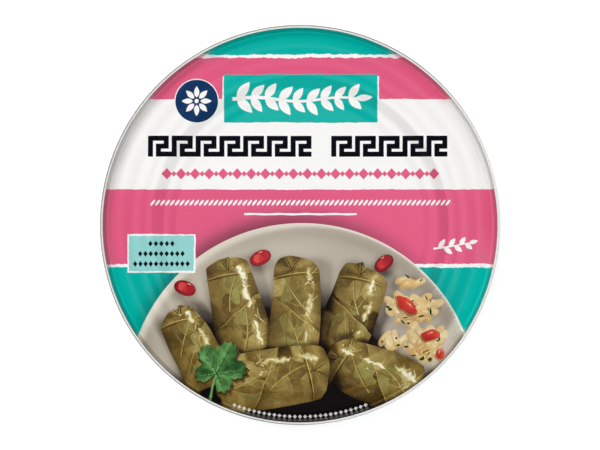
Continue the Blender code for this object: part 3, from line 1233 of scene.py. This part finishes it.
def conforming_mesh():
    """The print's vertices, triangles and, for each triangle, the index of the topmost field."""
    places = [tuple(p) for p in plain_points()]
    edges = []
    for outline in [PRINT_RIM] + [outline for _, outline, _ in fields]:
        first = len(places)
        places += [tuple(p) for p in outline]
        edges += [(first + k, first + (k + 1) % len(outline)) for k in range(len(outline))]
    made = delaunay_2d_cdt([Vector(p) for p in places], edges, [], 0, MERGE_DISTANCE)
    vertices = np.array([tuple(v) for v in made[0]])
    triangles = np.array(made[2])
    corners = vertices[triangles]
    ahead, aside = corners[:, 1] - corners[:, 0], corners[:, 2] - corners[:, 0]
    turned_over = ahead[:, 0] * aside[:, 1] - ahead[:, 1] * aside[:, 0] < 0
    triangles[turned_over] = triangles[turned_over][:, ::-1]
    centres = corners.mean(1)
    kept = within(centres, PRINT_RIM)
    triangles, centres = triangles[kept], centres[kept]
    topmost = np.zeros(len(triangles), int)
    for index, (_, outline, _) in enumerate(fields):
        topmost[within(centres, outline)] = index
    used, triangles = np.unique(triangles, return_inverse=True)
    return vertices[used], triangles.reshape(-1, 3), topmost


def arc_length(profile):
    return np.concatenate([[0.0], np.cumsum(np.hypot(*np.diff(profile, axis=0).T))])


# The side on which the seam's painted light is strongest, and the two on which lamps gleam on it, where
# its rolled-over part is painted darker
SEAM_PAINTED_LIGHT_SIDE = (0.94, -0.34)
SEAM_GLEAM_SIDES = ((-0.87, 0.5), (0.93, 0.37))

# Radii at which the seam's painted highlight starts on its crown, its painted shade starts where it rolls
# over, and that shade eases a little
SEAM_PAINTED_HIGHLIGHT_RADIUS = 50.74
SEAM_TURN_RADIUS = 51.09
SEAM_EDGE_RADIUS = 51.28

OUTER = np.concatenate([PRINTED, SEAM])
RUN = arc_length(OUTER) / arc_length(OUTER)[-1]


def painted_seam_light(index, directions):
    """The painted light and shade of the bare seam at a point of the profile, for each direction: a painted
    highlight on its crown, painted shade where it is rolled over, most of all at its upper left and where
    lamps gleam on it, and down its side painted a little lighter on its lit side at first, then plain."""
    radius, depth = OUTER[index]
    facing = rising(directions @ np.array(SEAM_PAINTED_LIGHT_SIDE), 0.3, 0.5)
    if depth < SEAM_BEND:
        gleam = rising((directions @ np.array(SEAM_GLEAM_SIDES).T).max(1), 0.9, 0.08)
        white = rising(radius - SEAM_PAINTED_HIGHLIGHT_RADIUS + 0.07 * np.maximum(directions[:, 1], 0), 0, 0.1)
        over = rising(radius - SEAM_TURN_RADIUS - 0.19 * facing, 0, 0.08)
        over *= 1 - 0.4 * rising(radius, SEAM_EDGE_RADIUS, 0.15)
        return 0.35 + 0.65 * white - over * (0.7 - 0.37 * facing + 0.2 * gleam)
    down = min((depth - SEAM_BEND) / 0.6, 1.0)
    return (1 - down) * (0.45 + 0.22 * facing) + down * 0.55


def quads(inner, outer):
    """What belongs to the corners of the quads between two rings: vertices, or tones."""
    return np.stack([inner, outer, np.roll(outer, -1), np.roll(inner, -1)], 1)


def seam_quads(index, directions):
    """The tones, with their painted light and shade, round the quads that lie between a ring of the seam and
    the one before it.
    """
    return quads(painted_seam_light(index - 1, directions), painted_seam_light(index, directions)).ravel()


def closing_fan(ring, middle):
    """The triangles between a ring and the point that closes it."""
    return np.stack([np.roll(ring, -1), ring, np.full(len(ring), middle)], 1)


def rim_of(triangles, plan):
    """The vertices on the border of the triangles, in order of their bearing."""
    sides = np.sort(np.concatenate([triangles[:, pair] for pair in ([0, 1], [1, 2], [2, 0])]), axis=1)
    pairs, uses = np.unique(sides, axis=0, return_counts=True)
    rim = np.unique(pairs[uses == 1])
    return rim[np.argsort(np.arctan2(plan[rim, 1], plan[rim, 0]))]


def profile_normal(index):
    """The outward normal (radial, upward) of the outer profile, which runs out and down."""
    along = OUTER[min(index + 1, len(OUTER) - 1)] - OUTER[max(index - 1, 0)]
    return np.array([along[1], along[0]]) / np.linalg.norm(along)


def bake_place(run, directions):
    """Places on the bake map: the outer side is laid out flat round the map's middle."""
    return 0.5 + OUTER_SHARE * np.reshape(run, (-1, 1)) * directions


def end_ring(index, outwards, on_map, upright):
    """The places, normals and bake places of a ring of one end, at a point of the profile. upright is
    False on the base."""
    ring_radius, depth = OUTER[index]
    outward, upward = profile_normal(index)
    height = np.full(len(outwards), TIN_HEIGHT - depth if upright else depth)
    upward = np.full(len(outwards), upward if upright else -upward)
    return (
        np.column_stack([outwards * ring_radius, height]),
        np.column_stack([outwards * outward, upward]),
        bake_place(RUN[index], on_map),
    )


def middle_point(height, upward, on_map=(0.0, 0.0)):
    """The same for the point at the middle of an end's outer or inner side."""
    return np.array([(0.0, 0.0, height)]), np.array([(0.0, 0.0, upward)]), np.array([on_map])


def print_tones(plan, triangles, topmost):
    """The tone of each corner of the print, painted shade and painted light near the rim and on the pressed
    rings included, and the ink of each triangle.
    """
    tones = np.empty((len(triangles), 3))
    for index, (_, _, tone) in enumerate(fields):
        worn = topmost == index
        if worn.any():
            corners = plan[triangles[worn]].reshape(-1, 2)
            tones[worn] = tone(corners).reshape(-1, 3) if callable(tone) else tone
    inks = np.array([ink_name for ink_name, _, _ in fields])[topmost]
    pale = np.isin(inks, PALE_INKS)
    # Painted shade and light near the rim: pale inks take all of it, deep inks a share and their own painted
    # light
    corners = plan[triangles].reshape(-1, 2)
    gain = np.where(pale[:, None], 0.0, deep_ink_painted_light(corners).reshape(-1, 3))
    share = np.where(pale, 1.0, DEEP_INK_SHADE)[:, None]
    right_gain = np.repeat(np.where(inks == "plate", RIGHT_GAIN_ON_PLATE, RIGHT_GAIN), 3)
    return tones + (gain - share * painted_rim_shade(corners, right_gain).reshape(-1, 3)), inks


def build_lid():
    painted()
    plan, triangles, topmost = conforming_mesh()
    radius, unit = polar(plan)
    rim = rim_of(triangles, plan)
    directions = unit[rim]
    parts = [(
        np.column_stack([plan, TIN_HEIGHT - depth_at(radius)]),
        np.column_stack([unit * slope_at(radius)[:, None], np.ones(len(plan))]),
        bake_place(np.interp(radius, PRINTED[:, 0], RUN[: len(PRINTED)]), unit),
    )]

    # Rings over the seam and back under the end, each with the rim's own bearings
    on_seam = range(len(PRINTED), len(OUTER))
    parts += [end_ring(index, directions, directions, True) for index in on_seam]
    parts.append(middle_point(TIN_HEIGHT - END_THICKNESS_DEPTH, -1.0))
    rings = [rim] + [len(plan) + len(rim) * ring + np.arange(len(rim)) for ring in range(len(on_seam))]
    faces = triangles.tolist()
    for inner, outer in zip(rings, rings[1:]):
        faces += quads(inner, outer).tolist()
    faces += closing_fan(rings[-1], rings[-1][-1] + 1).tolist()

    tones, inks = print_tones(plan, triangles, topmost)
    # The seam's tones: its painted light and shade
    seam = [seam_quads(index, directions) for index in on_seam]
    tones = np.concatenate([tones.ravel()] + seam + [np.full(3 * len(rim), 0.5)])
    names = sorted({ink_name for ink_name, _, _ in fields})
    slots = np.full(len(faces), len(names))
    slots[: len(inks)] = np.searchsorted(names, inks)
    finishes = [materials[name] for name in names] + [materials["seam"]]
    made = mesh_object("lid_printed_end", parts, faces, slots, tones, finishes)
    # The rim's painted reflection over the print, which the pink ink shows
    painted_reflection = np.zeros(len(tones), np.float32)
    painted_reflection[: 3 * len(triangles)] = painted_rim_reflection(plan[triangles].reshape(-1, 2))
    made.data.attributes.new("painted_reflection", "FLOAT", "CORNER").data.foreach_set("value", painted_reflection)
    return made


def mesh_object(name, parts, faces, slots, tones, finishes):
    """An object in metres, with its own normals, bake map, inks and tones. parts are rows of places in
    millimetres, normals and bake places, the last of which a mesh may go without."""
    places, normals, maps = zip(*parts)
    mesh = bpy.data.meshes.new(name)
    mesh.from_pydata((np.concatenate(places) * MM).tolist(), [], faces)
    for finish in finishes:
        mesh.materials.append(finish)
    mesh.polygons.foreach_set("material_index", np.asarray(slots, np.int32))
    mesh.shade_smooth()
    tone = mesh.attributes.new("tone", "FLOAT", "CORNER")
    tone.data.foreach_set("value", np.asarray(tones, np.float32))
    if maps[0] is not None:
        corner_vertices = np.empty(len(mesh.loops), np.int32)
        mesh.loops.foreach_get("vertex_index", corner_vertices)
        layer = mesh.uv_layers.new(name="OFBake", do_init=False)
        layer.uv.foreach_set("vector", np.concatenate(maps)[corner_vertices].astype(np.float32).ravel())
    normals = np.concatenate(normals)
    normals = normals / np.maximum(np.linalg.norm(normals, axis=1), 1e-9)[:, None]
    mesh.normals_split_custom_set_from_vertices(normals.tolist())
    made = bpy.data.objects.new(name, mesh)
    bpy.context.scene.collection.objects.link(made)
    return made


# Painted shade: how much darker the base's pressed slopes are painted
BASE_PAINTED_SLOPE_SHADE = 0.5


def base_tone(index):
    """How light the bare panel of the base is at a point of the profile, with painted shade on its pressed
    slopes.
    """
    return float(np.clip(0.5 - BASE_PAINTED_SLOPE_SHADE * abs(slope_at(OUTER[index, 0])), 0.2, 0.5))


def build_base():
    """The same pressing turned over, with its crown on the floor."""
    directions = circle(TURN_STEPS)
    mirrored = directions * (1, -1)
    parts = [middle_point(OUTER[0, 1], -1.0, (0.5, 0.5))]
    parts += [end_ring(index, mirrored, directions, False) for index in range(1, len(OUTER))]
    parts.append(middle_point(END_THICKNESS_DEPTH, 1.0))
    rings = [1 + TURN_STEPS * index + np.arange(TURN_STEPS) for index in range(len(OUTER) - 1)]
    faces = np.stack([np.zeros(TURN_STEPS, int), rings[0], np.roll(rings[0], -1)], 1).tolist()
    slots, tones = [0] * TURN_STEPS, [np.full(3 * TURN_STEPS, 0.5)]
    for index, (inner, outer) in enumerate(zip(rings, rings[1:]), 2):
        faces += quads(inner, outer).tolist()
        on_seam = index >= len(PRINTED)
        slots += TURN_STEPS * [int(on_seam)]
        if on_seam:
            # The seam's painted light and shade
            tones.append(seam_quads(index, mirrored))
        else:
            # Painted shade on the base's pressed slopes
            borders = [np.full(TURN_STEPS, base_tone(ring)) for ring in (index - 1, index)]
            tones.append(quads(*borders).ravel())
    faces += closing_fan(rings[-1], rings[-1][-1] + 1).tolist()
    slots += TURN_STEPS * [1]
    tones = np.concatenate(tones + [np.full(3 * TURN_STEPS, 0.5)])
    return mesh_object("base_bare_end", parts, faces, slots, tones, [materials["base"], materials["seam"]])


# The wall's steps, its gap to the ends, the torn borders between its bands, as (height, seed, amount), and
# its bands from the foot up, with the rows of faces that each has
WALL_STEPS = 780
WALL_GAP = 0.02
WALL_BORDERS = ((12.2, 2.3, 0.28), (13.1, 6.6, 0.25), (33.35, 9.9, 0.25), (34.2, 13.4, 0.28))
WALL_INKS = ("teal", "white", "pink", "white", "teal")
WALL_ROWS = (5, 1, 9, 1, 5)


def build_wall():
    directions = circle(WALL_STEPS)
    foot, head = SEAM_DEPTH + WALL_GAP, TIN_HEIGHT - SEAM_DEPTH - WALL_GAP
    borders = [np.full(WALL_STEPS, foot)]
    for height, seed, amount in WALL_BORDERS:
        offsets = [wander_round(angle, seed, amount) for angle in bearings(WALL_STEPS)]
        borders.append(height + np.array(offsets))
    borders.append(np.full(WALL_STEPS, head))
    heights, row_inks = [borders[0]], []
    for lower, upper, rows, ink_name in zip(borders, borders[1:], WALL_ROWS, WALL_INKS):
        heights += [lower + (upper - lower) * (row + 1) / rows for row in range(rows)]
        row_inks += [ink_name] * rows
    level = np.zeros(WALL_STEPS)
    outwards, inwards = np.column_stack([directions, level]), np.column_stack([-directions, level])
    parts = [(np.column_stack([directions * WALL_RADIUS, height]), outwards, None) for height in heights]
    inside = directions * (WALL_RADIUS - WALL_SHEET)
    parts += [(np.column_stack([inside, level + height]), inwards, None) for height in (head, foot)]
    names = sorted(set(WALL_INKS))
    row_slots = [names.index(ink_name) for ink_name in row_inks] + [len(names)] * 3
    rings = [WALL_STEPS * index + np.arange(WALL_STEPS) for index in range(len(parts))]
    faces, slots = [], []
    for lower, upper, slot in zip(rings, rings[1:] + rings[:1], row_slots):
        faces += np.stack([lower, np.roll(lower, -1), np.roll(upper, -1), upper], 1).tolist()
        slots += [slot] * WALL_STEPS
    finishes = [materials[name] for name in names] + [materials["seam"]]
    return mesh_object("wall_printed_body", parts, faces, slots, np.full(4 * len(faces), 0.5), finishes)


# Materials
class Nodes:
    """A node tree, with short calls that add a node to it and return what that puts out."""

    def __init__(self, tree):
        self.tree = tree

    def feed(self, node, inputs):
        """Gives a node's inputs their numbers and colours, or links them."""
        for key, value in inputs.items():
            if isinstance(value, bpy.types.NodeSocket):
                self.tree.links.new(value, node.inputs[key])
            else:
                node.inputs[key].default_value = value

    def add(self, kind, inputs, output=0, **settings):
        made = self.tree.nodes.new("ShaderNode" + kind)
        for name, value in settings.items():
            setattr(made, name, value)
        self.feed(made, inputs)
        return made.outputs[output]

    def math(self, operation, *values):
        return self.add("Math", dict(enumerate(values)), operation=operation)

    def attribute(self, name):
        return self.add("Attribute", {}, "Fac", attribute_name=name)

    def noise(self, place, size, detail=2.0):
        """A noise whose features are about size millimetres across."""
        return self.add("TexNoise", {"Vector": place, "Scale": 1.0 / (size * MM), "Detail": detail})

    def centred(self, value, amount):
        """The noise spread from -amount to amount."""
        return self.math("MULTIPLY_ADD", value, 2.0 * amount, -amount)

    def spread(self, value, low, high):
        """The noise spread from low to high."""
        limits = {"From Min": 0.25, "From Max": 0.75, "To Min": low, "To Max": high}
        return self.add("MapRange", {"Value": value, **limits})

    def ramp(self, value, stops, read=linear):
        """The colour that stops (position, colour) give to a value."""
        made = self.tree.nodes.new("ShaderNodeValToRGB")
        elements = made.color_ramp.elements
        while len(elements) > 1:
            elements.remove(elements[-1])
        elements[0].position, elements[0].color = stops[0][0], read(stops[0][1])
        for position, colour in stops[1:]:
            elements.new(position).color = read(colour)
        self.feed(made, {0: value})
        return made.outputs[0]

    def mixed(self, share, first, second):
        """A mix of two colours."""
        return self.add("Mix", {0: share, 6: first, 7: second}, 2, data_type="RGBA")

    def bump(self, height, strength, distance):
        inputs = {"Height": height, "Strength": strength, "Distance": distance * MM}
        return self.add("Bump", inputs)


def new_material(name):
    """A material, its nodes, its shader, and the place on the object that its patterns follow."""
    made = bpy.data.materials.new(name)
    made.use_nodes = True
    nodes = Nodes(made.node_tree)
    return made, nodes, made.node_tree.nodes["Principled BSDF"], nodes.add("TexCoord", {}, "Object")


# How steeply the pale lines of a leaf's net of veins fall off
NET_FALL = 14.0


def ink(name, stops, other=None, broad=(6.0, 0.012), fine=(0.5, 0.012), net=None, painted_reflection=None):
    """Printed ink under clear lacquer. broad and fine are a noise's size and how far it moves the tone,
    other is a second ramp that broad patches turn to, net is the size and strength of a leaf's net of
    veins, and the last argument is the grey of the rim's painted reflection, laid over the ink."""
    made, nodes, shader, place = new_material("ink_" + name)
    total = nodes.attribute("tone")
    for size, amount in (broad, fine):
        total = nodes.math("ADD", total, nodes.centred(nodes.noise(place, size, 3.0), amount))
    if net:
        inputs = {"Vector": place, "Scale": 1.0 / (net[0] * MM)}
        distance = nodes.add("TexVoronoi", inputs, "Distance", feature="DISTANCE_TO_EDGE")
        line = nodes.math("SUBTRACT", 1.0, nodes.math("MULTIPLY", distance, NET_FALL))
        line = nodes.math("MULTIPLY", nodes.math("MAXIMUM", line, 0.0), net[1])
        total = nodes.math("ADD", total, line)
    colour = nodes.ramp(total, stops)
    if other:
        patches = nodes.spread(nodes.noise(place, 5.0), 0.0, 1.0)
        colour = nodes.mixed(patches, colour, nodes.ramp(total, other))
    # The rim's painted reflection, laid over the ink's colour
    if painted_reflection:
        colour = nodes.mixed(nodes.attribute("painted_reflection"), colour, linear(painted_reflection))
    nodes.feed(shader, {
        "Base Color": colour,
        "Roughness": nodes.spread(nodes.noise(place, 2.4, 4.0), 0.3, 0.4),
        "Normal": nodes.bump(nodes.noise(place, 1.1), 0.12, 0.02),
        "Specular IOR Level": 0.2,
        "Coat Weight": 0.5,
        "Coat Roughness": 0.14,
    })
    return made


# Radius in metres of the small circle on which the seam's noise is read, so that it closes on itself
GRAIN_CIRCLE = 0.004


def round_grain(nodes, place):
    """A noise drawn out round the tin's axis, as rolling a seam leaves on it."""
    parts = nodes.tree.nodes.new("ShaderNodeSeparateXYZ")
    nodes.feed(parts, {0: place})
    x, y, z = parts.outputs
    bearing = nodes.math("ARCTAN2", y, x)
    squares = nodes.math("ADD", nodes.math("MULTIPLY", x, x), nodes.math("MULTIPLY", y, y))
    joined = nodes.add("CombineXYZ", {
        0: nodes.math("MULTIPLY", nodes.math("SINE", bearing), GRAIN_CIRCLE),
        1: nodes.math("ADD", nodes.math("SQRT", squares), z),
        2: nodes.math("MULTIPLY", nodes.math("COSINE", bearing), GRAIN_CIRCLE),
    })
    return nodes.noise(joined, 0.2, 3.0)


def seam_metal():
    """The bare rolled seam: pale tinplate under clear lacquer, with fine lines round it."""
    made, nodes, shader, place = new_material("seam_tinplate")
    grain = round_grain(nodes, place)
    # The tone brings the seam's painted light and shade
    total = nodes.math("ADD", nodes.attribute("tone"), nodes.centred(grain, 0.05))
    nodes.feed(shader, {
        "Base Color": nodes.ramp(total, SEAM_TIN),
        "Roughness": nodes.spread(nodes.noise(place, 3.0, 3.0), 0.26, 0.36),
        "Normal": nodes.bump(grain, 0.1, 0.01),
        "Metallic": 0.25,
        "Coat Weight": 0.3,
        "Coat Roughness": 0.12,
    })
    return made


def base_metal():
    """The bare base: tinplate with the straight grain of its rolling, a little clouded."""
    made, nodes, shader, place = new_material("base_tinplate")
    drawn = nodes.add("Mapping", {"Vector": place, "Scale": (0.03, 1.0, 1.0)})
    grain = nodes.noise(drawn, 0.14, 4.0)
    cloud = nodes.noise(place, 9.0, 4.0)
    both = nodes.math("MULTIPLY_ADD", grain, 0.6, nodes.math("MULTIPLY", cloud, 0.4))
    # The tone's painted shade on the pressed slopes
    lift = nodes.math("SUBTRACT", nodes.attribute("tone"), 0.5)
    total = nodes.math("ADD", nodes.spread(both, 0.4, 1.0), lift)
    nodes.feed(shader, {
        "Base Color": nodes.ramp(total, BASE_TIN),
        "Roughness": nodes.spread(cloud, 0.24, 0.38),
        "Normal": nodes.bump(grain, 0.3, 0.008),
        "Metallic": 0.92,
        "Coat Weight": 0.25,
        "Coat Roughness": 0.2,
    })
    return made


# The inks: colours, and where they aren't plain the second colours, the two noises and the net of veins
INKS = {
    "teal": (TEAL,),
    "white": (WHITE, None, (7.0, 0.01), (0.5, 0.006)),
    "navy": (NAVY,),
    "black": (BLACK,),
    "aqua": (AQUA,),
    "plate": (PLATE, None, (9.0, 0.03), (0.6, 0.01)),
    "roll": (ROLL, ROLL_BROWN, (2.0, 0.09), (0.5, 0.05), (2.4, 0.04)),
    "moss": (MOSS, ROLL, (2.0, 0.09), (0.5, 0.05), (2.4, 0.04)),
    "tuck": (TUCK, ROLL, (1.6, 0.12), (0.45, 0.06)),
    "rib": (RIB, None, (1.6, 0.08), (0.4, 0.06)),
    "sprig": (SPRIG, None, (1.6, 0.09), (0.4, 0.07), (1.1, 0.1)),
    "seed": (SEED, None, (1.5, 0.08), (0.4, 0.05)),
    "pepper": (PEPPER, None, (1.2, 0.12), (0.4, 0.06)),
    "rice": (RICE, RICE_PALE, (1.3, 0.06), (0.4, 0.04)),
}
materials = {name: ink(name, *look) for name, look in INKS.items()}
# The pink shows the rim's painted reflection beside the rim
materials["pink"] = ink("pink", PINK, painted_reflection=PAINTED_REFLECTION_GREY)
materials["seam"] = seam_metal()
materials["base"] = base_metal()

lid = build_lid()
wall = build_wall()
base = build_base()
for piece, node, slot_name in (
    (lid, "lid_end", "lid_print"),
    (wall, "can_wall", "wall_print"),
    (base, "base_end", "base_tin"),
):
    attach(piece, "root")
    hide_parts(node)


# The floor, the lights and the camera
FLOOR_HALF = 3.0
FLOOR_WHITE = ((0.0, (250, 250, 250)), (1.0, (254, 254, 254)))
FLOOR_GLOW = 0.43
PHOTO_WIDTH = 600
LID_WIDTH_IN_PHOTO = 400.8
LENS = 200.0
SENSOR = 36.0
LAMP_DISTANCE = 1.2

# Lamps: name, bearing, elevation, size, power, whether it lights surfaces or only gleams on them
LAMPS = (
    ("overhead", 90, 90, 0.6, 9.6, True),
    ("key_left", 130, 42, 0.7, 3.6, True),
    ("gleam_left", 150, 14, 0.8, 4.0, False),
    ("gleam_right", 25, 14, 0.8, 3.0, False),
    ("gleam_front", 265, 12, 0.8, 1.8, False),
)

# Brightness of the surroundings by height: 0 at the horizon and below it, 1 overhead
WORLD_LEVELS = ((0.0, 0.55), (0.25, 0.45), (0.5, 0.16), (0.9, 0.04))


def grey(level):
    return (level, level, level, 1.0)


def floor():
    mesh = bpy.data.meshes.new("floor")
    h = FLOOR_HALF
    mesh.from_pydata([(-h, -h, 0), (h, -h, 0), (h, h, 0), (-h, h, 0)], [], [(0, 1, 2, 3)])
    made, nodes, shader, place = new_material("floor_white")
    nodes.feed(shader, {
        "Base Color": nodes.ramp(nodes.noise(place, 40.0), FLOOR_WHITE),
        "Roughness": 0.9,
        "Emission Color": grey(1.0),
        "Emission Strength": FLOOR_GLOW,
    })
    mesh.materials.append(made)
    plane = bpy.data.objects.new("floor", mesh)
    bpy.context.scene.collection.objects.link(plane)


def softbox(name, bearing, elevation, size, power, lights_surfaces):
    """A square light that either lights surfaces or only shows as a soft gleam on glossy ones."""
    lamp = bpy.data.lights.new(name, "AREA")
    lamp.shape = "SQUARE"
    lamp.size = size
    lamp.energy = power
    made = bpy.data.objects.new(name, lamp)
    level, up = pointing(elevation)
    place = LAMP_DISTANCE * Vector((*(level * pointing(bearing)), up))
    made.location = place
    made.rotation_euler = (-place).to_track_quat("-Z", "Y").to_euler()
    made.visible_camera = False
    made.visible_diffuse = lights_surfaces
    made.visible_glossy = not lights_surfaces
    bpy.context.scene.collection.objects.link(made)


def studio():
    """The surroundings: a dark ceiling over pale walls, so that the flat print mirrors nothing bright."""
    world = bpy.data.worlds.new("studio")
    world.use_nodes = True
    nodes = Nodes(world.node_tree)
    height = nodes.add("SeparateXYZ", {0: nodes.add("TexCoord", {}, "Generated")}, 2)
    sky = nodes.ramp(height, WORLD_LEVELS, grey)
    nodes.feed(world.node_tree.nodes["Background"], {"Color": sky})
    bpy.context.scene.world = world


def camera():
    data = bpy.data.cameras.new("camera")
    data.lens = LENS
    data.sensor_width = SENSOR
    view_width = 2 * SEAM_RADIUS * MM * PHOTO_WIDTH / LID_WIDTH_IN_PHOTO
    made = bpy.data.objects.new("camera", data)
    made.location = (0.0, 0.0, TIN_HEIGHT * MM + view_width * LENS / SENSOR)
    bpy.context.scene.collection.objects.link(made)
    bpy.context.scene.camera = made


floor()
studio()
for lamp in LAMPS:
    softbox(*lamp)
camera()
bpy.context.scene.view_settings.view_transform = "Standard"
